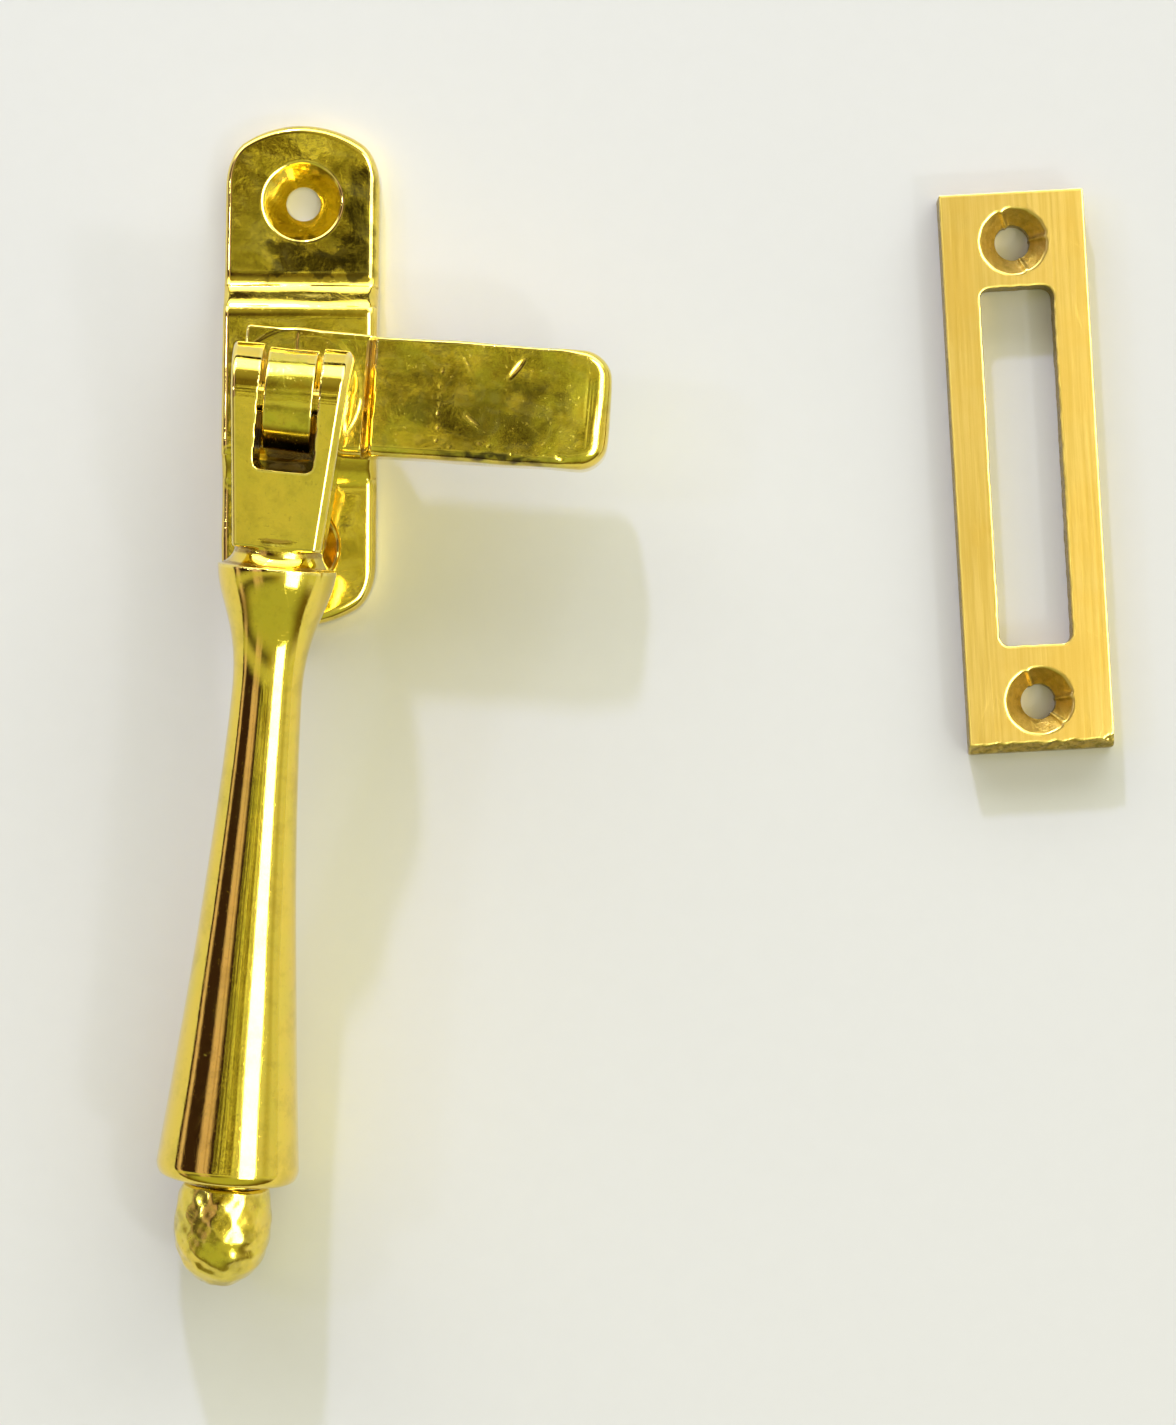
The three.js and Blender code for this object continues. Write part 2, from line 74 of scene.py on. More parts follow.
WAIST_AT, WAIST_RADIUS = 29.0, 3.6
RIM_AT, RIM_RADIUS, RIM_ROUND, BELL_FLARE, BELL_END = 77.5, 7.3, 1.1, 1.4, 79.1
KNOB_RADIUS, KNOB_SHOULDER, KNOB_STAND, KNOB_NOSE = 5.05, 4.4, 4.9, 6.1
KNOB_SHANK, KNOB_SHANK_LENGTH = 2.2, 6.0
CLEARANCE, SKIN_INSET = 0.3, 0.06
MORTICE_WIDTH, MORTICE_LENGTH, MORTICE_THICKNESS = 15.0, 57.7, 3.5
MORTICE_SLOT_WIDTH, MORTICE_SLOT_LENGTH, MORTICE_SLOT_SHIFT = 7.4, 36.8, 0.5
MORTICE_HOLE_SPACING, MORTICE_HOLE_RADIUS, MORTICE_SINK_RADIUS = 47.4, 1.75, 3.45
MORTICE_TURN = math.radians(3.6)
HANDLE_REST_GAP = 0.2
PLATE_CROWN, PLATE_END_FALL, PLATE_FALL_FROM = 0.003, 0.0016, 12
RAMP_FOOT_BLEND, RAMP_TOP_BLEND = 0.7, 0.6
PLATE_EDGE, PLATE_EDGE_LEAN, PLATE_BACK_EDGE = 1.0, 0.25, 0.25
HUB_EDGE, SHOULDER_CORNER, BLADE_RISE_RUN = 0.35, 0.5, 1.7
REAR_WASHER = {"radius": 5.0, "base": 1.3, "thickness": 0.6, "dish": 0.0}
SPRING_WASHER = {"radius": 4.8, "base": 2.2, "thickness": 0.35, "dish": 0.25}
TONGUE_NEAR, TONGUE_FAR, RIVET_REACH, PIN_REACH = 6.8, 6.9, 3.5, 5.8
PROFILE_STEP, PROFILE_SMOOTHING = 0.02, 15

# ---- mesh cell of each piece, in millimetres ----
DETAIL = 1.0
MESH_STEP = {"back_plate": 0.16, "rear_washer": 0.13, "spring_washer": 0.11, "mortice_plate": 0.14,
             "tongue": 0.15, "pivot_spindle": 0.14, "hinge_pin": 0.14, "handle": 0.19,
             "finial_knob": 0.15}

# ---- the eye, in metres and degrees, and the lights ----
FRAME_WIDTH, FOCAL_LENGTH = 1176, 5176.0
EYE_PLACE, EYE_TURN, EYE_TILT = (0.03012, -0.05543, 0.53319), 0.527, 2.532
KEY_POWER, FILL_POWER, SOFTBOX_POWER, SOFTBOX_ROLL = 7.0, 1.4, 18.0, 36


# ---- distance fields: negative inside, in millimetres ----
def soft_min(a, b, reach):
    blend = np.maximum(reach - np.abs(a - b), 0.0)
    return np.minimum(a, b) - blend * blend / (4 * reach)


def soft_max(a, b, reach):
    return -soft_min(-a, -b, reach)


def round_max(a, b, radius):
    """Both a and b, with the edge where they meet rounded to a true radius."""
    flat = np.minimum(np.maximum(a, b), -radius)
    return flat + np.hypot(np.maximum(a + radius, 0.0), np.maximum(b + radius, 0.0))


def step_up(t):
    t = np.clip(t, 0.0, 1.0)
    return t * t * (3 - 2 * t)


def ripple(x, y, z, seed, wavelength, height):
    """Slow unevenness left by hand finishing: a few sine waves in seeded directions."""
    rng = np.random.default_rng(seed)
    total = 0.0
    for _ in range(7):
        way = rng.normal(size=3)
        way *= 2 * math.pi / (np.linalg.norm(way) * wavelength * rng.uniform(0.6, 1.6))
        total = total + np.sin(way[0] * x + way[1] * y + way[2] * z + rng.uniform(0, 6.3))
    return height * total / 3


def screw_hole(x, y, face, hole_radius, sink_radius, chatter=0.0, lobes=9):
    """A drilled hole with a 90-degree countersink, its cone marked by the cutter's chatter."""
    radius = np.hypot(x, y)
    angle = np.arctan2(y, x)
    marks = chatter * np.sin(lobes * angle + 2.5 * radius)
    cone = (radius - sink_radius + face + marks) * math.sqrt(0.5)
    return np.minimum(radius - hole_radius, cone)


def plate_field(x, y, z):
    half = PLATE_WIDTH / 2
    dome_radius = (half**2 + PLATE_END_RISE**2) / (2 * PLATE_END_RISE)
    along = np.maximum(np.abs(y - PLATE_MIDDLE_Y) - PLATE_LENGTH / 2 + dome_radius, 0.0)
    outline = round_max(np.abs(x) - half, np.hypot(x, along) - dome_radius, PLATE_CORNER_RADIUS)
    ramp = (BRIDGE_LENGTH / 2 + BRIDGE_RAMP - np.abs(y - BRIDGE_MIDDLE_Y)) / BRIDGE_RAMP
    rise = soft_min(ramp, np.ones_like(ramp), RAMP_TOP_BLEND)
    rise = soft_max(rise, np.zeros_like(ramp), RAMP_FOOT_BLEND)
    beyond = np.maximum(np.abs(y - PLATE_MIDDLE_Y) - PLATE_FALL_FROM, 0.0)
    crown = PLATE_CROWN * x * x + PLATE_END_FALL * beyond**2
    face = z - FLANGE_THICKNESS + crown - (BRIDGE_HEIGHT - FLANGE_THICKNESS) * rise
    slope = (BRIDGE_HEIGHT - FLANGE_THICKNESS) / BRIDGE_RAMP
    face = face / np.hypot(1.0, slope * ((ramp > 0) & (ramp < 1)))
    body = round_max(outline, face, PLATE_EDGE + PLATE_EDGE_LEAN * x / half)
    body = round_max(body, -z, PLATE_BACK_EDGE)
    for side in (1, -1):
        hole_y = PLATE_MIDDLE_Y + side * (PLATE_LENGTH / 2 - PLATE_HOLE_INSET)
        hole = screw_hole(x, y - hole_y, FLANGE_THICKNESS - z, PLATE_HOLE_RADIUS,
                          PLATE_SINK_RADIUS, 0.012, 5)
        body = soft_max(body, -hole, 0.2)
    radius = np.hypot(x, y)
    body = soft_max(body, -np.maximum(radius - RECESS_RADIUS, z - RECESS_DEPTH), 0.15)
    body = soft_max(body, BORE_RADIUS - radius, 0.15)
    return body + ripple(x, y, z, 3, 6.5, 0.026)


def tongue_field(x, y, z):
    xb = x * math.cos(BLADE_SKEW) + y * math.sin(BLADE_SKEW)
    yb = y * math.cos(BLADE_SKEW) - x * math.sin(BLADE_SKEW)
    half = BLADE_WIDTH / 2
    reach = BLADE_REACH - BLADE_END_RISE * (yb / half) ** 2
    outline = round_max(xb - reach, np.abs(yb) - half, BLADE_CORNER)
    sweep = step_up((xb - BLADE_ROOT + COVE_WIDTH) / COVE_WIDTH)
    top = z - HUB_TOP - (BLADE_TOP - HUB_TOP) * sweep
    top = top / (1 + 1.2 * (sweep > 0) * (sweep < 1))
    lifted = np.clip((xb - BLADE_ROOT) / BLADE_RISE_RUN, 0, 1)
    base = HUB_BASE + (BLADE_BASE - HUB_BASE) * lifted - z
    edge = np.clip(0.85 - 0.45 * yb / half + 0.9 * step_up((xb - 26) / 5), 0.4, 1.9)
    blade = round_max(round_max(outline, top, edge), base, 0.3)
    blade = np.maximum(blade, -xb)
    level = np.abs(z - (HUB_BASE + HUB_TOP) / 2) - (HUB_TOP - HUB_BASE) / 2
    hub = round_max(np.hypot(x, y) - HUB_RADIUS, level, HUB_EDGE)
    middle, width = (BLADE_ROOT - SHOULDER_LEFT) / 2, (BLADE_ROOT + SHOULDER_LEFT) / 2
    depth = np.abs(y - HUB_RADIUS / 2) - HUB_RADIUS / 2
    block = round_max(np.abs(x - middle) - width, depth, SHOULDER_CORNER)
    shoulder = round_max(block, level, HUB_EDGE)
    off = np.abs(y - HINGE_Y)
    round_top = np.where(z < HINGE_Z, off, np.hypot(off, z - HINGE_Z)) - KNUCKLE_RADIUS
    knuckle = round_max(round_top, np.abs(x) - KNUCKLE_WIDTH / 2, 0.25)
    knuckle = np.maximum(knuckle, HUB_BASE + 2 - z)
    body = soft_min(soft_min(soft_min(blade, hub, 0.4), shoulder, 0.4), knuckle, 0.35)
    pin = np.hypot(y - HINGE_Y, z - HINGE_Z) - PIN_RADIUS - PIN_FIT
    body = np.maximum(body, -pin)
    bore = np.maximum(np.hypot(x, y) - SPINDLE_RADIUS - PIN_FIT, z - BORE_TOP)
    body = np.maximum(body, -bore)
    face_marks = blade_marks(x, y) * (z > HUB_TOP)
    return body + ripple(x, y, z, 11, 6.0, 0.05) + face_marks


def groove(x, y, start, end, width, depth):
    """A scratch or knock pressed into a face seen from above, fading at its ends."""
    run = np.array(end) - np.array(start)
    share = ((x - start[0]) * run[0] + (y - start[1]) * run[1]) / (run @ run)
    share = np.clip(share, 0, 1)
    away = (x - start[0] - share * run[0]) ** 2 + (y - start[1] - share * run[1]) ** 2
    fade = 0.35 + 0.65 * np.sin(math.pi * share)
    return depth * fade * np.exp(-np.minimum(away / (2 * width * width), 30))


def blade_marks(x, y):
    """Handling marks on the blade: a few scratches, a row of pits and knocks near the nose."""
    rng = np.random.default_rng(5)
    total = groove(x, y, (22.9, 5.2), (21.5, 3.1), 0.16, 0.10)
    total += groove(x, y, (16.2, 5.6), (18.2, 2.6), 0.12, 0.03)
    total += groove(x, y, (17.4, -1.0), (18.9, -2.1), 0.14, 0.06)
    total += groove(x, y, (20.0, -5.0), (23.5, -4.9), 0.13, 0.05)
    for pit in range(7):
        place = (14.6 + rng.uniform(-0.1, 0.1), 3.2 - 1.1 * pit + rng.uniform(-0.3, 0.3))
        total += groove(x, y, place, (place[0], place[1] - 0.4), 0.10, rng.uniform(0.02, 0.06))
    for _ in range(11):
        place = (rng.uniform(16, 30), -4.6 + 1.4 * rng.uniform(-1, 1) ** 3)
        turn = rng.uniform(0, math.pi)
        end = (place[0] + 0.5 * math.cos(turn), place[1] + 0.5 * math.sin(turn))
        total += groove(x, y, place, end, rng.uniform(0.1, 0.2), rng.uniform(0.02, 0.05))
    for line in range(6):
        at = BLADE_REACH - 2.6 + 0.35 * line
        total += groove(x, y, (at, rng.uniform(1, 4)), (at, rng.uniform(-4, 0)), 0.09, 0.02)
    return total


def grip_table():
    """Radius of the turned grip against distance from the hinge, densely sampled."""
    t = np.linspace(0, 1, 500)
    neck = WAIST_AT - COLLAR_AT
    cove_at = (HEAD_LENGTH - 0.6) * (1 - t) ** 2 + 2 * (COLLAR_AT - 0.45) * t * (1 - t)
    cove_at = cove_at + COLLAR_AT * t**2
    cove_r = COVE_RADIUS * (1 - t) ** 2 + 2 * (COVE_RADIUS - 0.05) * t * (1 - t)
    cove_r = cove_r + COLLAR_RADIUS * t**2
    start, first, second = COLLAR_AT + 0.35, COLLAR_AT + 0.31 * neck, COLLAR_AT + 0.48 * neck
    neck_at = start * (1 - t) ** 3 + 3 * first * t * (1 - t) ** 2 + 3 * second * t**2 * (1 - t)
    neck_at = neck_at + WAIST_AT * t**3
    neck_r = COLLAR_RADIUS * (1 - t) ** 3 + 3 * (COLLAR_RADIUS - 0.3) * t * (1 - t) ** 2
    neck_r = neck_r + 3 * WAIST_RADIUS * t**2 * (1 - t) + WAIST_RADIUS * t**3
    bell_at = WAIST_AT + t * (RIM_AT - WAIST_AT)
    bell_r = WAIST_RADIUS + (RIM_RADIUS - WAIST_RADIUS) * t**BELL_FLARE
    round_at = RIM_AT + (BELL_END - RIM_AT) * np.sin(t * math.pi / 2)
    round_r = RIM_RADIUS - RIM_ROUND * (1 - np.cos(t * math.pi / 2))
    along = np.concatenate([cove_at, neck_at, bell_at, round_at])
    radius = np.concatenate([cove_r, neck_r, bell_r, round_r])
    even = np.arange(HEAD_LENGTH - 2, BELL_END + 2, PROFILE_STEP)
    smooth = np.interp(even, along, radius)
    kernel = np.hanning(PROFILE_SMOOTHING)
    padded = np.pad(smooth, PROFILE_SMOOTHING // 2, mode="edge")
    smooth = np.convolve(padded, kernel / kernel.sum(), mode="valid")
    return even, smooth, np.gradient(smooth, even)


GRIP_ALONG, GRIP_RADIUS, GRIP_SLOPE = grip_table()


def head_field(x, d, z):
    taper = (HEAD_TOP_HALF - HEAD_FOOT_HALF) / (HEAD_LENGTH + BARREL_RADIUS)
    side = np.abs(x) - HEAD_TOP_HALF + taper * (d + BARREL_RADIUS)
    fall = (BARREL_RADIUS - HEAD_FOOT_DEPTH) / HEAD_LENGTH
    face = np.where(d < 0, np.hypot(d, z), np.abs(z) + fall * d) - BARREL_RADIUS
    bevel = HEAD_CHAMFER * np.where(x > 0, 1.0, 0.45)
    chamfer = (side + face + bevel) * math.sqrt(0.5)
    body = soft_max(np.maximum(side, face), chamfer, 0.15)
    return round_max(body, d - HEAD_LENGTH, 0.35)


def handle_field(x, y, z):
    d = -y
    radius = np.hypot(x, z)
    slope = np.interp(d, GRIP_ALONG, GRIP_SLOPE)
    grip = (radius - np.interp(d, GRIP_ALONG, GRIP_RADIUS)) / np.hypot(1.0, slope)
    grip = soft_max(grip, d - BELL_END, 0.5)
    grip = np.maximum(grip, HEAD_LENGTH - 0.6 - d)
    body = soft_min(head_field(x, d, z), grip, 0.5)
    slot = round_max(np.abs(x) - SLOT_HALF, d - SLOT_DEPTH, SLOT_CORNER)
    body = soft_max(body, -slot, 0.08)
    body = np.maximum(body, PIN_RADIUS + PIN_FIT - np.hypot(d, z))
    shank = np.maximum(radius - KNOB_SHANK - PIN_FIT, BELL_END - KNOB_SHANK_LENGTH - d)
    body = np.maximum(body, -shank)
    return body + ripple(x, y * 0.35, z, 21, 6.0, 0.016)


def knob_field(x, y, z):
    d = -y
    radius = np.hypot(x, z)
    widest, seat = BELL_END + KNOB_STAND, BELL_END + CLEARANCE
    left = (widest - d) / (widest - seat)
    thimble = radius - KNOB_RADIUS + (KNOB_RADIUS - KNOB_SHOULDER) * left * left
    nose = np.hypot(radius, (d - widest) * KNOB_RADIUS / KNOB_NOSE) - KNOB_RADIUS
    ball = round_max(np.where(d < widest, thimble, nose), seat - d, 0.5)
    swirl = np.sin(3 * np.arctan2(z, x))
    rings = np.sin(2 * math.pi * (d - seat) / 1.9 + 0.9 * swirl)
    rough = ripple(x, y * 1.3, z, 31, 2.6, 0.055) + ripple(x, y, z, 32, 1.1, 0.007) + 0.02 * rings
    shank = np.maximum(radius - KNOB_SHANK, np.abs(d - BELL_END + 2.5) - KNOB_SHANK_LENGTH + 2.5)
    return soft_min(ball + rough + 0.06, shank, 0.1)


def mortice_field(x, y, z):
    ragged = ripple(x, y, z, 41, 1.4, 0.03) + ripple(x, y, z, 42, 0.5, 0.008)
    sides = round_max(np.abs(x) - MORTICE_WIDTH / 2, np.abs(y) - MORTICE_LENGTH / 2, 0.3)
    slot_y = np.abs(y - MORTICE_SLOT_SHIFT) - MORTICE_SLOT_LENGTH / 2
    slot = round_max(np.abs(x) - MORTICE_SLOT_WIDTH / 2, slot_y, 1.0) + ragged
    level = np.abs(z - MORTICE_THICKNESS / 2) - MORTICE_THICKNESS / 2
    body = round_max(sides + 0.12 * np.abs(ragged), level, 0.15)
    filed = (-y - MORTICE_LENGTH / 2 + 0.85) * 0.86 + (z - MORTICE_THICKNESS) * 0.5 + 2 * ragged
    body = soft_max(body, filed, 0.15)
    body = soft_max(body, -slot, 0.16)
    for side in (1, -1):
        hole_y = y - side * MORTICE_HOLE_SPACING / 2
        hole = screw_hole(x, hole_y, MORTICE_THICKNESS - z, MORTICE_HOLE_RADIUS,
                          MORTICE_SINK_RADIUS, 0.014, 12 + side)
        turn = np.arctan2(hole_y, x)
        for bar in (1.9, -1.0 - 0.2 * side, 0.1):
            hole = hole + 0.12 * np.exp(-((np.angle(np.exp(1j * (turn - bar))) / 0.09) ** 2))
        body = soft_max(body, -hole, 0.14)
    chip = np.hypot(np.hypot(x - 7.9, 0.8 * (y + 29.2)), 1.4 * (z - 3.9)) - 1.6 + 6 * ragged
    return soft_max(body, -chip, 0.3)


def pin_field(x, y, z):
    taper = (HEAD_TOP_HALF - HEAD_FOOT_HALF) / (HEAD_LENGTH + BARREL_RADIUS)
    half = HEAD_TOP_HALF - taper * (BARREL_RADIUS + PIN_RADIUS) - 0.1
    return round_max(np.hypot(y, z) - PIN_RADIUS, np.abs(x) - half, 0.25)


def spindle_field(x, y, z):
    radius = np.hypot(x, y)
    shank = round_max(radius - SPINDLE_RADIUS, np.maximum(RIVET_BASE - z, z - SPINDLE_TOP), 0.1)
    crown = 0.25 * np.clip(radius / RIVET_RADIUS, 0, 1) ** 2
    rivet = round_max(radius - RIVET_RADIUS, np.maximum(RIVET_BASE + crown - z, z - RIVET_TOP), 0.2)
    return soft_min(shank, rivet, 0.1) + ripple(x, y, z, 51, 1.8, 0.02)


def washer_field(size):
    """A flat or dished ring, as a field of its own."""
    outer, half = size["radius"], size["thickness"] / 2

    def field(x, y, z):
        radius = np.hypot(x, y)
        lift = size["dish"] * (outer - radius) / (outer - BORE_RADIUS)
        level = np.abs(z - size["base"] - lift - half) - half
        return round_max(round_max(radius - outer, BORE_RADIUS - radius, 0.1), level, 0.12)
    return field


# ---- meshes from distance fields ----
def sample(field, axes):
    y, z = np.meshgrid(axes[1], axes[2], indexing="ij")
    return np.stack([field(np.full_like(y, x), y, z) for x in axes[0]])


def net_points(values, active):
    """One point per cell that the surface crosses: the mean of the crossings on its edges."""
    cells = np.argwhere(active)
    total = np.zeros(cells.shape)
    hits = np.zeros(len(cells))
    for axis in range(3):
        along = np.eye(3, dtype=int)[axis]
        others = [np.eye(3, dtype=int)[a] for a in range(3) if a != axis]
        for first, second in itertools.product((0, 1), repeat=2):
            start = cells + first * others[0] + second * others[1]
            low = values[tuple(start.T)]
            high = values[tuple((start + along).T)]
            crossed = (low < 0) != (high < 0)
            share = np.where(crossed, low / np.where(crossed, low - high, 1.0), 0.0)
            total += crossed[:, None] * (start + share[:, None] * along)
            hits += crossed
    return total / hits[:, None]


def net_faces(inside, index):
    """A quad round each grid edge that the surface crosses, facing out."""
    quads = []
    for axis in range(3):
        first, second = np.eye(3, dtype=int)[(axis + 1) % 3], np.eye(3, dtype=int)[(axis + 2) % 3]
        ahead = np.roll(inside, -1, axis)
        crossed = np.argwhere(inside != ahead)
        ring = [crossed - first - second, crossed - second, crossed, crossed - first]
        quad = np.stack([index[tuple(cell.T)] for cell in ring], axis=1)
        outward = inside[tuple(crossed.T)]
        quads.append(np.where(outward[:, None], quad, quad[:, ::-1]))
    return np.concatenate(quads)


def slopes(field, points, reach=0.03):
    columns = []
    for axis in range(3):
        ahead, behind = points.copy(), points.copy()
        ahead[:, axis] += reach
        behind[:, axis] -= reach
        columns.append((field(*ahead.T) - field(*behind.T)) / (2 * reach))
    return np.stack(columns, axis=1)


def sharpness(field, points, reach=0.3):
    """How sharply the surface bends: above 0 on outer edges, below 0 in creases."""
    total = -6 * field(*points.T)
    for axis, way in itertools.product(range(3), (-reach, reach)):
        moved = points.copy()
        moved[:, axis] += way
        total += field(*moved.T)
    return np.clip(total / reach**2, -3, 3)


def skin(name, shape_field, low, high, step, place):
    """A closed, smooth mesh of the field's zero surface, in metres, where the piece stands."""
    def field(x, y, z):
        return shape_field(x, y, z) + SKIN_INSET

    axes = [np.arange(a - 2 * step, b + 3 * step, step) for a, b in zip(low, high)]
    values = sample(field, axes)
    inside = values < 0
    shape = tuple(n - 1 for n in values.shape)
    count = np.zeros(shape, dtype=int)
    for corner in itertools.product((0, 1), repeat=3):
        count += inside[tuple(slice(c, c + n) for c, n in zip(corner, shape))]
    active = (count > 0) & (count < 8)
    index = np.full(values.shape, -1)
    index[:-1, :-1, :-1][active] = np.arange(active.sum())
    points = net_points(values, active) * step + [axis[0] for axis in axes]
    for _ in range(3):
        slope = slopes(field, points)
        push = field(*points.T) / np.maximum((slope**2).sum(axis=1), 0.3)
        points -= np.clip(push, -step / 2, step / 2)[:, None] * slope
    slope = slopes(field, points)
    normals = slope / np.linalg.norm(slope, axis=1)[:, None]
    faces = net_faces(inside, index)
    edge = sharpness(field, points)
    turn, shift = np.array(place.to_3x3()), np.array(place.translation)
    points, normals = points * MM @ turn.T + shift, normals @ turn.T

    mesh = bpy.data.meshes.new(name)
    mesh.vertices.add(len(points))
    mesh.vertices.foreach_set("co", points.ravel())
    mesh.loops.add(faces.size)
    mesh.loops.foreach_set("vertex_index", faces.ravel())
    mesh.polygons.add(len(faces))
    mesh.polygons.foreach_set("loop_start", np.arange(0, faces.size, 4))
    mesh.update(calc_edges=True)
    mesh.polygons.foreach_set("use_smooth", np.ones(len(faces), dtype=bool))
    mesh.normals_split_custom_set_from_vertices(normals)
    mesh.attributes.new("edge", "FLOAT", "POINT").data.foreach_set("value", edge)
    return mesh


# ---- materials ----
class Nodes:
    """Short calls for building a node tree whose patterns sit in a piece's own millimetres."""

    def __init__(self, tree, place=None):
        self.tree = tree
        self.place = place
        self.own = None

    def add(self, kind, inputs=None, **settings):
        node = self.tree.nodes.new(kind)
        for key, value in settings.items():
            setattr(node, key, value)
        for key, value in (inputs or {}).items():
            self.feed(node.inputs[key], value)
        return node

    def feed(self, socket, value):
        if isinstance(value, bpy.types.NodeSocket):
            self.tree.links.new(value, socket)
        else:
            socket.default_value = value

    def math(self, operation, first, second=0.0, clamp=False):
        inputs = {0: first, 1: second}
        return self.add("ShaderNodeMath", inputs, operation=operation, use_clamp=clamp).outputs[0]

    def total(self, *values):
        result = values[0]
        for value in values[1:]:
            result = self.math("ADD", result, value)
        return result

    def spread(self, value, low, high, to_low=0.0, to_high=1.0):
        inputs = {"Value": value, "From Min": low, "From Max": high,
                  "To Min": to_low, "To Max": to_high}
        return self.add("ShaderNodeMapRange", inputs, interpolation_type="SMOOTHSTEP").outputs[0]

    def mix(self, factor, first, second):
        node = self.add("ShaderNodeMix", data_type="RGBA")
        for socket, value in ((0, factor), (6, first), (7, second)):
            self.feed(node.inputs[socket], value)
        return node.outputs[2]

    def millimetres(self, scale=(1, 1, 1), turn=(0, 0, 0)):
        """The piece's own coordinates in millimetres, turned and stretched for a pattern."""
        if self.own is None:
            held = {"Vector": self.add("ShaderNodeTexCoord").outputs["Object"],
                    "Location": self.place.translation, "Rotation": self.place.to_euler(),
                    "Scale": (MM, MM, MM)}
            self.own = self.add("ShaderNodeMapping", held, vector_type="TEXTURE").outputs[0]
        turned = self.add("ShaderNodeMapping", {"Vector": self.own, "Rotation": turn}).outputs[0]
        return self.add("ShaderNodeMapping", {"Vector": turned, "Scale": scale}).outputs[0]

    def noise(self, scale, detail=2.0, stretch=(1, 1, 1), turn=(0, 0, 0), roughness=0.5):
        inputs = {"Vector": self.millimetres(stretch, turn), "Scale": scale, "Detail": detail,
                  "Roughness": roughness}
        return self.add("ShaderNodeTexNoise", inputs).outputs[0]

    def scratches(self, count, reach, width, amount):
        """Straight hair scratches in several directions, in patches, as one mask from 0 to 1."""
        result = 0.0
        for way in range(count):
            turn = (0.15 * way, 0.1 * way, 0.5 + 2.39996 * way)
            lines = self.noise(1.0, 1.0, (1 / width, 1 / reach, 1 / reach), turn, 0.4)
            patch = self.spread(self.noise(0.23 + 0.04 * way, 2.0, turn=turn), 0.5, 0.66)
            line = self.spread(lines, 0.70 - amount, 0.76 - amount)
            result = self.math("ADD", self.math("MULTIPLY", line, patch), result, clamp=True)
        return result

    def finish(self, shader, color, rough, height):
        bump = self.add("ShaderNodeBump", {"Height": height, "Distance": MM, "Strength": 1.0})
        self.feed(shader.inputs["Base Color"], color)
        self.feed(shader.inputs["Roughness"], rough)
        self.feed(shader.inputs["Normal"], bump.outputs[0])


def new_material(name, place=None):
    material = bpy.data.materials.new(name)
    material.use_nodes = True
    tree = material.node_tree
    tree.nodes.clear()
    kit = Nodes(tree, place)
    shader = kit.add("ShaderNodeBsdfPrincipled", {"Metallic": 1.0})
    kit.add("ShaderNodeOutputMaterial", {"Surface": shader.outputs[0]})
    return material, kit, shader


BRASS = (0.90, 0.665, 0.078, 1)
BRASS_GREEN = (0.74, 0.65, 0.065, 1)
BRASS_RUBBED = (0.97, 0.80, 0.22, 1)
BRASS_DEEP = (0.50, 0.38, 0.03, 1)
BRASS_TARNISH = (0.30, 0.17, 0.025, 1)
# Near-black laid into polished brass for grime, painted shade and a painted dark reflection.
GRIME_SHADE_AND_REFLECTION = (0.05, 0.03, 0.01, 1)
SATIN_DARK, SATIN_LIGHT = (0.53, 0.365, 0.080, 1), (0.60, 0.425, 0.115, 1)
SATIN_CLOUD, SATIN_DIRT = (0.56, 0.35, 0.055, 1), (0.22, 0.17, 0.02, 1)
STEEL, STEEL_DULL = (0.52, 0.52, 0.54, 1), (0.36, 0.33, 0.30, 1)
FLOOR_DARK, FLOOR_LIGHT = (0.755, 0.76, 0.75, 1), (0.775, 0.78, 0.77, 1)


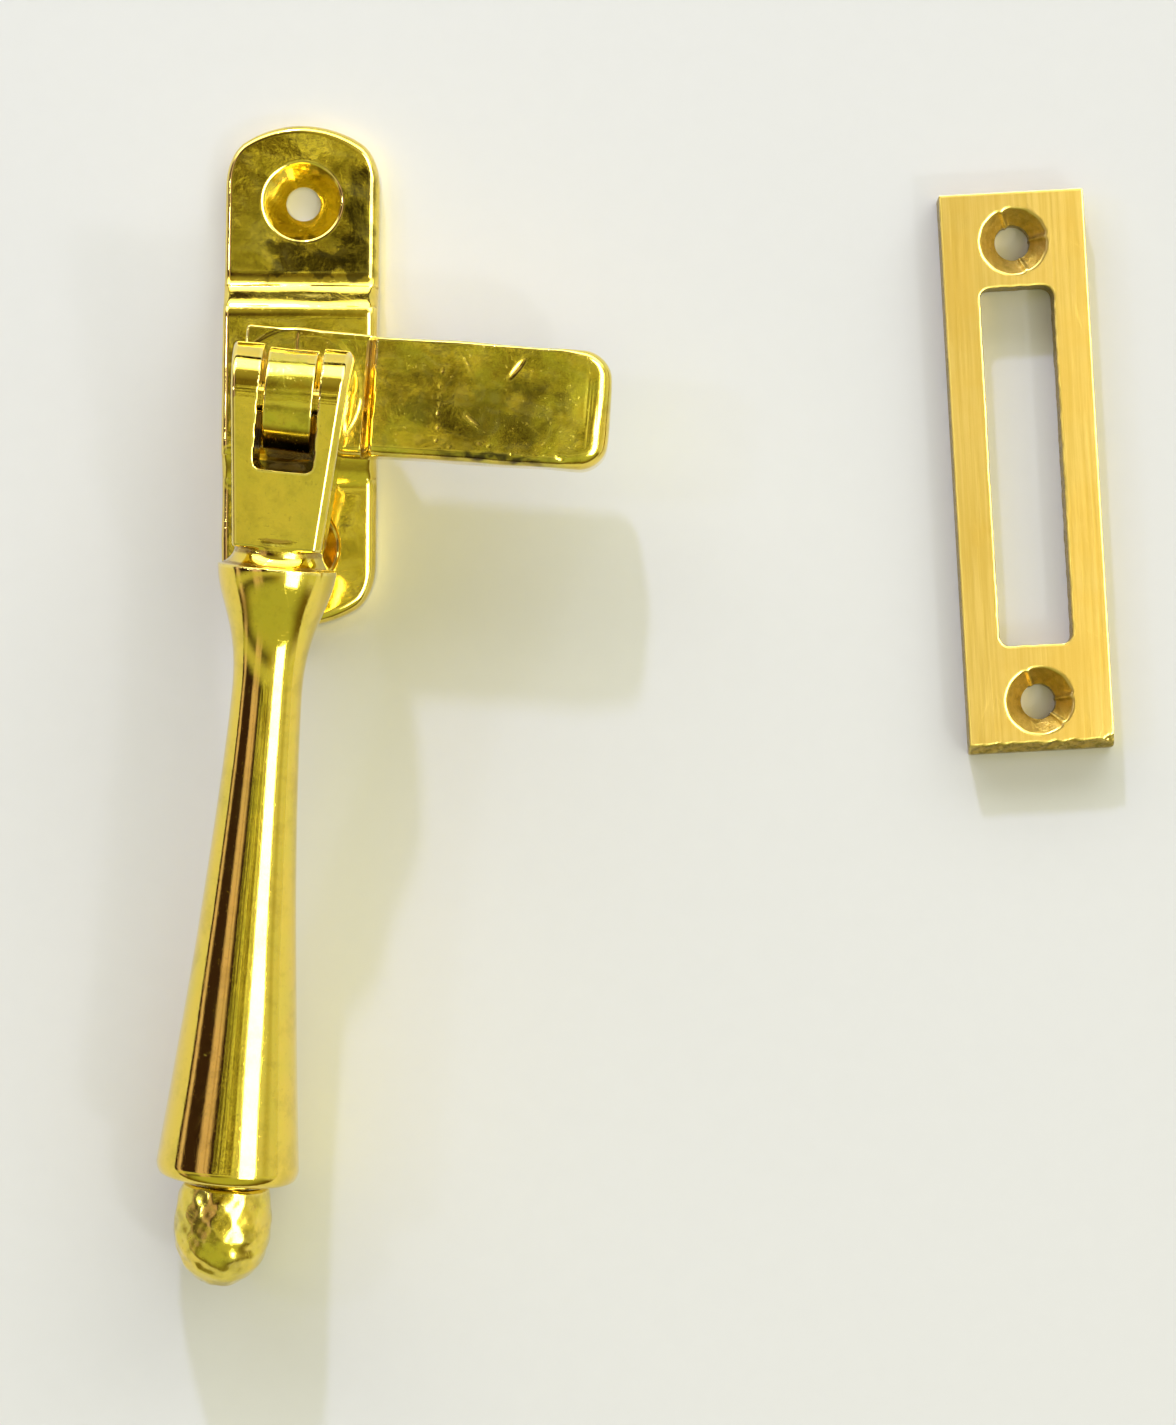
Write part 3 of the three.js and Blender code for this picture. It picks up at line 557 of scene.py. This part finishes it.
def polished_brass(name, place, rough, wear, green=0.4, grime_shade_and_reflection=None, lines=None,
                   waves=0.012):
    """Hand-polished brass: cloudy tint, hair scratches, darker creases, rubbed outer edges, and,
    where given, the caller's grime, painted shade and painted dark reflection.
    """
    material, kit, shader = new_material(name, place)
    shader.inputs["Coat Weight"].default_value = 0.6
    shader.inputs["Coat Roughness"].default_value = 0.04
    edge = kit.add("ShaderNodeAttribute", attribute_name="edge").outputs["Fac"]
    cloud = kit.spread(kit.noise(0.17, 5.0, roughness=0.6), 0.40, 0.64)
    speck = kit.spread(kit.noise(2.4, 4.0, roughness=0.7), 0.60, 0.72)
    bloom = kit.spread(kit.noise(0.36, 5.0, roughness=0.62), 0.47, 0.68)
    marks = kit.scratches(4, 12.0, 0.13, 0.03 + 0.02 * wear)
    # Creases are darkened towards BRASS_TARNISH and dulled.
    crease = kit.spread(edge, -0.2, -1.2)
    crease = kit.math("MULTIPLY", crease, kit.spread(kit.noise(0.9), 0.25, 0.5))
    rubbed = kit.spread(edge, 0.5, 1.9)
    color = kit.mix(kit.math("MULTIPLY", cloud, green), BRASS, BRASS_GREEN)
    color = kit.mix(kit.math("MULTIPLY", bloom, 0.5 * wear), color, BRASS_DEEP)
    color = kit.mix(kit.math("MULTIPLY", speck, 0.35 * wear), color, BRASS_TARNISH)
    color = kit.mix(kit.math("MULTIPLY", rubbed, 0.6), color, BRASS_RUBBED)
    color = kit.mix(kit.math("MULTIPLY", crease, 0.75), color, BRASS_TARNISH)
    # The caller's mask darkens grime, painted shade and, on the plate, a painted dark reflection into
    # the colour.
    if grime_shade_and_reflection:
        color = kit.mix(grime_shade_and_reflection(kit), color, GRIME_SHADE_AND_REFLECTION)
    dull = kit.total(kit.math("MULTIPLY", cloud, 0.05 * wear), kit.math("MULTIPLY", marks, 0.08),
                     kit.math("MULTIPLY", speck, 0.14 * wear), kit.math("MULTIPLY", crease, 0.25),
                     rough)
    height = kit.total(kit.math("MULTIPLY", kit.noise(0.5, 3.0), waves),
                       kit.math("MULTIPLY", kit.noise(1.5, 2.0), 0.25 * waves),
                       kit.math("MULTIPLY", marks, -0.0012 * wear),
                       kit.math("MULTIPLY", speck, -0.003 * wear),
                       kit.math("MULTIPLY", kit.noise(7.0, 3.0, roughness=0.7), 0.0012 * wear))
    if lines:
        along = kit.noise(1.0, 3.0, lines, roughness=0.7)
        height = kit.total(height, kit.math("MULTIPLY", along, 0.0018))
    kit.finish(shader, color, dull, height)
    return material


def within(kit, value, low, high, soft):
    """1 where a value lies between low and high, with soft ends."""
    return kit.math("MULTIPLY", kit.spread(value, low - soft, low + soft),
                    kit.spread(value, high - soft, high + soft, 1, 0))


def tongue_marks_and_shade(kit):
    """Darker along the blade's lower bevel, painted shade on the hub under the fork, and darker
    patches on the blade's top.
    """
    x, y, z = kit.add("ShaderNodeSeparateXYZ", {0: kit.millimetres()}).outputs
    across = kit.math("ADD", y, kit.spread(kit.noise(0.35, 2.0), 0.25, 0.75, -0.3, 0.3))
    bevel = kit.math("MULTIPLY", within(kit, across, -5.45, -4.65, 0.25), within(kit, x, 15, 26, 2.5))
    patchy = kit.spread(kit.noise(0.6, 4.0), 0.35, 0.55, 0.45, 1.0)
    bevel = kit.math("MULTIPLY", bevel, patchy)
    # Painted shade on the hub under the handle's fork, deepening lower down.
    hub = kit.math("MULTIPLY", within(kit, x, -4.2, 4.2, 0.3), within(kit, y, -7.2, -4, 0.1))
    hub = kit.math("MULTIPLY", hub, kit.spread(z, 13.5, 12.5))
    # Darker patches wandering over the blade's top.
    wander = kit.math("ADD", x, kit.spread(kit.noise(0.22, 5.0), 0.25, 0.75, -5, 5))
    top_patches = kit.math("MULTIPLY", within(kit, wander, 13.5, 25, 1.8), within(kit, y, -4.6, 3.4, 1.2))
    top_patches = kit.math("MULTIPLY", top_patches, kit.spread(kit.noise(0.3, 5.0), 0.36, 0.56, 0.12, 0.5))
    return kit.math("MAXIMUM", kit.math("MULTIPLY", kit.math("MAXIMUM", bevel, hub), 0.95), top_patches)


def plate_shade_and_reflection(kit):
    """Painted shade under the fork round the hub's foot, and a painted dark reflection beside the
    upper screw hole.
    """
    x, y, _ = kit.add("ShaderNodeSeparateXYZ", {0: kit.millimetres()}).outputs
    across = kit.math("ADD", x, kit.spread(kit.noise(0.5, 3.0), 0.25, 0.75, -0.8, 0.8))
    # Painted shade under the handle's fork, round the hub's foot.
    fork_shade = kit.math("MULTIPLY", within(kit, across, -3.6, 3.4, 0.6),
                      within(kit, y, -9.6, -5.0, 0.5))
    ragged = kit.math("ADD", y, kit.spread(kit.noise(0.45, 5.0), 0.25, 0.75, -1.8, 1.8))
    band = kit.math("MULTIPLY", within(kit, across, -3.4, 7.0, 0.7),
                    within(kit, ragged, 12.7, 15.6, 0.5))
    side = kit.math("MULTIPLY", within(kit, across, 4.6, 7.0, 0.6),
                    within(kit, ragged, 12.7, 24.0, 1.2))
    # Painted dark reflection on the upper flange beside the upper screw hole.
    flange_reflection = kit.math("MULTIPLY", kit.math("MAXIMUM", band, side), 0.72)
    return kit.math("MAXIMUM", kit.math("MULTIPLY", fork_shade, 0.93), flange_reflection)


def slot_grime_and_shade(kit):
    """The walls of the fork's slot, which no polishing cloth reaches: grime and painted shade, darker
    deeper in.
    """
    x, y, z = kit.add("ShaderNodeSeparateXYZ", {0: kit.millimetres()}).outputs
    inside = within(kit, x, -SLOT_HALF - 0.02, SLOT_HALF + 0.02, 0.05)
    # Darker deeper into the slot: painted shade of the narrow recess.
    depth = kit.spread(z, BARREL_RADIUS - 0.7, BARREL_RADIUS - 1.1)
    inside = kit.math("MULTIPLY", inside, kit.spread(y, -SLOT_DEPTH - 0.3, -SLOT_DEPTH - 0.1))
    return kit.math("MULTIPLY", kit.math("MULTIPLY", inside, depth), 0.93)


def satin_brass(place):
    """Brass drawn and brushed lengthwise, with filed edges left dark."""
    material, kit, shader = new_material("satin_brass_brushed", place)
    edge = kit.add("ShaderNodeAttribute", attribute_name="edge").outputs["Fac"]
    facing = kit.add("ShaderNodeSeparateXYZ", {0: kit.add("ShaderNodeTexCoord").outputs["Normal"]})
    wall = kit.spread(facing.outputs[2], 0.9, 0.45)
    fine = kit.noise(1.0, 4.0, (13.0, 0.16, 13.0), roughness=0.75)
    coarse = kit.noise(1.0, 3.0, (2.6, 0.06, 2.6), roughness=0.6)
    cloud = kit.spread(kit.noise(0.14, 4.0), 0.42, 0.68)
    marks = kit.scratches(3, 9.0, 0.14, 0.03)
    grime = kit.spread(kit.noise(1.3, 5.0, roughness=0.7), 0.42, 0.62)
    color = kit.mix(kit.spread(coarse, 0.32, 0.68), SATIN_DARK, SATIN_LIGHT)
    color = kit.mix(kit.math("MULTIPLY", cloud, 0.4), color, SATIN_CLOUD)
    color = kit.mix(kit.math("MULTIPLY", kit.spread(edge, 0.8, 2.4), 0.45), color, BRASS_RUBBED)
    dirt = kit.math("MULTIPLY", wall, kit.spread(grime, 0, 1, 0.35, 0.95))
    color = kit.mix(dirt, color, SATIN_DIRT)
    rough = kit.total(kit.math("MULTIPLY", fine, 0.10), kit.math("MULTIPLY", marks, 0.06),
                      kit.math("MULTIPLY", wall, 0.06), 0.25)
    height = kit.total(kit.math("MULTIPLY", fine, 0.0045), kit.math("MULTIPLY", coarse, 0.004),
                       kit.math("MULTIPLY", marks, -0.0008),
                       kit.math("MULTIPLY", kit.math("MULTIPLY", wall, grime), 0.03))
    kit.finish(shader, color, rough, height)
    return material


def spring_steel(place):
    material, kit, shader = new_material("spring_steel_satin", place)
    haze = kit.noise(1.4, 4.0, roughness=0.7)
    color = kit.mix(kit.spread(haze, 0.4, 0.7), STEEL, STEEL_DULL)
    rough = kit.total(kit.math("MULTIPLY", haze, 0.3), 0.22)
    kit.finish(shader, color, rough, kit.math("MULTIPLY", haze, 0.01))
    return material


# ---- pieces ----
hinge = Vector(joints["handle_lift"]["pos_m"])
lift_axis = Vector(joints["handle_lift"]["axis"])
fastener_turn = math.atan2(-lift_axis.y, -lift_axis.x)
droop = math.asin((hinge.z / MM - HANDLE_REST_GAP) / math.hypot(RIM_AT, RIM_RADIUS))
droop -= math.atan2(RIM_RADIUS, RIM_AT)

at_plate = Matrix.Identity(4)
at_tongue = Matrix.Rotation(fastener_turn, 4, "Z")
at_pin = Matrix.Translation(hinge) @ at_tongue
at_handle = at_pin @ Matrix.Rotation(droop, 4, "X")
mortice_low, mortice_high = (Vector(corner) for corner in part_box("mortice_plate"))
mortice_middle = (mortice_low + mortice_high) / 2
at_mortice = Matrix.Translation((mortice_middle.x, mortice_middle.y, 0))
at_mortice = at_mortice @ Matrix.Rotation(MORTICE_TURN, 4, "Z")


def piece(name, node, body, field, low, high, place, material):
    """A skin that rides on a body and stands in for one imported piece."""
    mesh = skin(name, field, low, high, MESH_STEP[node] * DETAIL, place)
    made = bpy.data.objects.new(name, mesh)
    bpy.context.scene.collection.objects.link(made)
    made.data.materials.append(material)
    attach(made, body)
    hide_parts(node)


def washer(name, node, size, material):
    reach, base = size["radius"], size["base"]
    piece(name, node, "plates", washer_field(size), (-reach, -reach, base),
          (reach, reach, base + size["thickness"] + size["dish"]), at_plate, material)


def build_plates():
    end, foot = PLATE_MIDDLE_Y + PLATE_LENGTH / 2, PLATE_MIDDLE_Y - PLATE_LENGTH / 2
    half = PLATE_WIDTH / 2
    piece("back_plate_casting", "back_plate", "plates", plate_field,
          (-half, foot, 0), (half, end, BRIDGE_HEIGHT), at_plate,
          polished_brass("polished_brass_plate", at_plate, 0.07, 1.0, 0.25, plate_shade_and_reflection, waves=0.024))
    washer("flat_rear_washer", "rear_washer", REAR_WASHER,
           polished_brass("brass_washer", at_plate, 0.2, 1.6))
    washer("dished_spring_washer", "spring_washer", SPRING_WASHER,
           spring_steel(at_plate))
    half, half_length = MORTICE_WIDTH / 2, MORTICE_LENGTH / 2
    piece("slotted_mortice_plate", "mortice_plate", "plates", mortice_field,
          (-half, -half_length, 0), (half, half_length, MORTICE_THICKNESS), at_mortice,
          satin_brass(at_mortice))


def build_tongue():
    tongue = polished_brass("polished_brass_tongue", at_tongue, 0.11, 1.4, 0.9, tongue_marks_and_shade,
                            waves=0.034)
    piece("tongue_casting", "tongue", "turning_tongue", tongue_field,
          (-HUB_RADIUS, -TONGUE_NEAR, HUB_BASE),
          (BLADE_REACH + 0.2, TONGUE_FAR, HINGE_Z + KNUCKLE_RADIUS), at_tongue, tongue)
    piece("riveted_spindle", "pivot_spindle", "turning_tongue", spindle_field,
          (-RIVET_REACH, -RIVET_REACH, RIVET_BASE), (RIVET_REACH, RIVET_REACH, SPINDLE_TOP),
          at_tongue, polished_brass("brass_spindle", at_tongue, 0.18, 1.6))
    piece("cross_pin", "hinge_pin", "turning_tongue", pin_field,
          (-PIN_REACH, -PIN_RADIUS, -PIN_RADIUS), (PIN_REACH, PIN_RADIUS, PIN_RADIUS), at_pin,
          polished_brass("brass_cross_pin", at_pin, 0.12, 1.0))


def build_handle():
    turned = polished_brass("polished_brass_handle", at_handle, 0.05, 0.7, 0.35,
                            slot_grime_and_shade, (9.0, 0.1, 9.0))
    piece("handle_casting", "handle", "hinged_handle", handle_field,
          (-RIM_RADIUS, -BELL_END, -RIM_RADIUS), (RIM_RADIUS, BARREL_RADIUS, RIM_RADIUS),
          at_handle, turned)
    far, near = BELL_END + KNOB_STAND + KNOB_NOSE, BELL_END - KNOB_SHANK_LENGTH
    piece("acorn_knob", "finial_knob", "hinged_handle", knob_field,
          (-KNOB_RADIUS, -far, -KNOB_RADIUS), (KNOB_RADIUS, -near, KNOB_RADIUS), at_handle,
          polished_brass("brass_knob", at_handle, 0.14, 1.8, 0.6))


# ---- floor, lights and camera ----
def build_floor():
    reach = 3.0
    corners = [(-reach, -reach, 0), (reach, -reach, 0), (reach, reach, 0), (-reach, reach, 0)]
    mesh = bpy.data.meshes.new("pale_floor")
    mesh.from_pydata(corners, [], [(0, 1, 2, 3)])
    floor = bpy.data.objects.new("pale_floor", mesh)
    floor.location.z = -0.01 * MM
    bpy.context.scene.collection.objects.link(floor)
    material, kit, shader = new_material("pale_floor", at_plate)
    for socket, value in (("Metallic", 0.0), ("Specular IOR Level", 0.2)):
        shader.inputs[socket].default_value = value
    grain = kit.noise(0.4, 3.0)
    color = kit.mix(grain, FLOOR_DARK, FLOOR_LIGHT)
    rough = kit.spread(grain, 0, 1, 0.75, 0.85)
    kit.finish(shader, color, rough, kit.math("MULTIPLY", grain, 0.004))
    mesh.materials.append(material)


def sky_place(azimuth, elevation, distance):
    """A place round the object: azimuth from +X towards +Y, both in degrees."""
    a, e = math.radians(azimuth), math.radians(elevation)
    return distance * Vector((math.cos(a) * math.cos(e), math.sin(a) * math.cos(e), math.sin(e)))


def area_light(name, place, size, power, color, seen="both", bounces=64):
    """A lamp facing the origin. seen: "gloss" is only mirrored, "floor" only lights matt faces."""
    light = bpy.data.lights.new(name, "AREA")
    light.shape = "RECTANGLE"
    light.size, light.size_y = size
    light.energy = power
    light.color = color
    lamp = bpy.data.objects.new(name, light)
    lamp.location = place
    lamp.rotation_euler = (-place).to_track_quat("-Z", "Y").to_euler()
    lamp.visible_diffuse = seen != "gloss"
    lamp.visible_glossy = seen != "floor"
    light.cycles.max_bounces = bounces
    bpy.context.scene.collection.objects.link(lamp)


def build_lights():
    """A small key light beyond the plate's end, two faint ones, a soft fill and a side softbox."""
    area_light("key", sky_place(99, 26, 1.2), (0.05, 0.05), KEY_POWER, (0.55, 0.58, 1.0))
    area_light("left_kicker", sky_place(170, 38, 1.2), (0.08, 0.08), 1.0, (0.7, 0.75, 1.0))
    area_light("near_kicker", sky_place(-42, 42, 1.2), (0.1, 0.1), 1.3, (0.9, 0.9, 1.0))
    area_light("overhead_fill", sky_place(90, 88, 1.3), (1.6, 1.6), FILL_POWER,
               (1.0, 0.99, 0.80), "floor")
    area_light("right_softbox", sky_place(0, 90 - SOFTBOX_ROLL, 0.9), (1.26, 0.45), SOFTBOX_POWER,
               (1.0, 0.98, 0.92), "gloss", 1)


def build_world():
    """A room as brass mirrors it: dark on the left with two warm strips, pale on the right."""
    world = bpy.data.worlds.new("studio_room")
    bpy.context.scene.world = world
    world.use_nodes = True
    tree = world.node_tree
    tree.nodes.clear()
    kit = Nodes(tree)
    way = kit.add("ShaderNodeTexCoord").outputs["Generated"]
    x, y, z = kit.add("ShaderNodeSeparateXYZ", {0: way}).outputs
    roll = kit.math("DEGREES", kit.math("ARCTAN2", x, z))
    rise = kit.math("DEGREES", kit.math("ARCSINE", z))
    pitch = kit.math("DEGREES", kit.math("ARCSINE", y))
    clutter = kit.add("ShaderNodeTexNoise", {"Vector": way, "Scale": 9.0, "Detail": 3.0}).outputs[0]
    roll = kit.total(roll, kit.spread(clutter, 0.2, 0.8, -1.5, 1.5))

    def strip(value, middle, half_width, soft):
        away = kit.math("ABSOLUTE", kit.math("SUBTRACT", value, middle))
        return kit.spread(away, half_width + soft, half_width - soft)

    color = kit.mix(kit.spread(roll, -13, 8), (0.040, 0.020, 0.025, 1), (0.33, 0.28, 0.06, 1))
    color = kit.mix(kit.spread(roll, 2, 20), color, (0.76, 0.76, 0.62, 1))
    color = kit.mix(kit.math("MULTIPLY", strip(roll, 67, 5, 5), 0.6), color, (0.45, 0.42, 0.12, 1))
    color = kit.mix(strip(roll, -37, 10, 3), color, (0.74, 0.55, 0.75, 1))
    color = kit.mix(kit.math("MULTIPLY", strip(roll, -33, 1, 1.5), 0.7), color, (0.2, 0.12, 0.1, 1))
    color = kit.mix(strip(roll, -80, 4, 3), color, (0.76, 0.58, 0.8, 1))
    # Straight up, the flat faces mirror a dim patch of ceiling.
    ceiling = kit.add("ShaderNodeTexNoise", {"Vector": way, "Scale": 26.0, "Detail": 3.0})
    above = kit.math("MULTIPLY", kit.spread(rise, 66, 76), kit.spread(z, 0.9, 0.95))
    lighter = kit.math("MULTIPLY", above, kit.spread(ceiling.outputs[0], 0.49, 0.57))
    color = kit.mix(kit.math("MULTIPLY", lighter, 0.9), color, (1.05, 1.08, 0.50, 1))
    darker = kit.math("MULTIPLY", above, kit.spread(ceiling.outputs[0], 0.50, 0.43))
    color = kit.mix(kit.math("MULTIPLY", darker, 0.8), color, (0.07, 0.05, 0.01, 1))
    color = kit.mix(kit.math("MULTIPLY", strip(pitch, -17, 5, 4), 0.8), color, (0.68, 0.70, 0.36, 1))
    # A dark patch over the plate's end.
    across, along = kit.math("DIVIDE", x, z), kit.math("DIVIDE", y, z)
    patch = kit.math("MULTIPLY", strip(across, 0.012, 0.05, 0.02),
                     strip(along, 0.135, 0.036, 0.014))
    color = kit.mix(kit.math("MULTIPLY", patch, 0.92), color, (0.03, 0.025, 0.008, 1))
    # The wall beyond the plate's end is bright, the near side olive.
    far = kit.mix(strip(rise, 22, 13, 5), (0.35, 0.33, 0.14, 1), (4.4, 4.4, 4.2, 1))
    far = kit.mix(kit.spread(rise, 7.5, 5.5), far, (0.03, 0.02, 0.01, 1))
    color = kit.mix(kit.spread(y, 0.42, 0.72), color, far)
    near = kit.mix(kit.spread(rise, 30, 6), (0.48, 0.52, 0.2, 1), (0.16, 0.12, 0.03, 1))
    color = kit.mix(kit.spread(y, -0.35, -0.6), color, near)
    background = kit.add("ShaderNodeBackground", {"Color": color, "Strength": 1.0})
    kit.add("ShaderNodeOutputWorld", {"Surface": background.outputs[0]})


def build_camera():
    camera = bpy.data.cameras.new("camera")
    camera.sensor_width = 36.0
    camera.sensor_fit = "HORIZONTAL"
    camera.lens = camera.sensor_width * FOCAL_LENGTH / FRAME_WIDTH
    camera.clip_end = 20.0
    eye = bpy.data.objects.new("camera", camera)
    turn = Matrix.Rotation(math.radians(EYE_TURN), 4, "Z")
    turn = turn @ Matrix.Rotation(math.radians(EYE_TILT), 4, "X")
    eye.matrix_world = Matrix.Translation(EYE_PLACE) @ turn
    bpy.context.scene.collection.objects.link(eye)
    bpy.context.scene.camera = eye


build_plates()
build_tongue()
build_handle()
build_floor()
build_world()
build_lights()
build_camera()
bpy.context.scene.view_settings.view_transform = "Standard"
